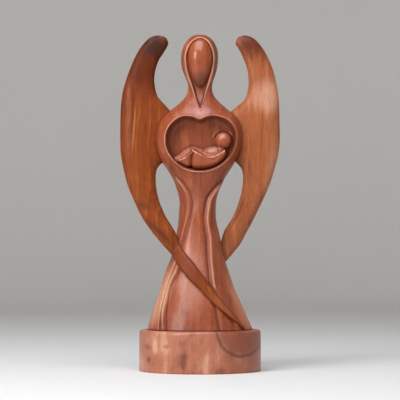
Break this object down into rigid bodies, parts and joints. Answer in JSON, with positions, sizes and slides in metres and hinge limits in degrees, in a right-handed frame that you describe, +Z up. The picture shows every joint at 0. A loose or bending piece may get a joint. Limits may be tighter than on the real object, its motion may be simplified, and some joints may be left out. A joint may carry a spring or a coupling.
{
  "type": "carved wooden figurine",
  "caption": "Carved wooden figurine of a hooded, faceless mother with long crossing wings, holding a sleeping baby in a heart-shaped hollow, on an oval plinth.",
  "frame": {"origin": "on the ground under the middle of the plinth", "axes": "+Z up, the mother faces -Y, and her left side is +X"},
  "size_m": [0.1426, 0.1, 0.2994],
  "materials": {
    "plinth_wood": "satin wax polish",
    "mother_wood": "satin wax polish",
    "head_wood": "satin wax polish",
    "baby_wood": "satin wax polish",
    "wing_wood": "satin wax polish",
    "dowel_wood": "raw, fluted beech",
    "screw_steel": "zinc plated"
  },
  "bodies": {
    "root": {"plinth": "plinth_wood", "mother": "mother_wood", "head": "head_wood", "baby": "baby_wood", "left_wing": "wing_wood", "right_wing": "wing_wood", "left_wing_dowels": "dowel_wood", "right_wing_dowels": "dowel_wood", "plinth_screws": "screw_steel"}
  },
  "joints": []
}
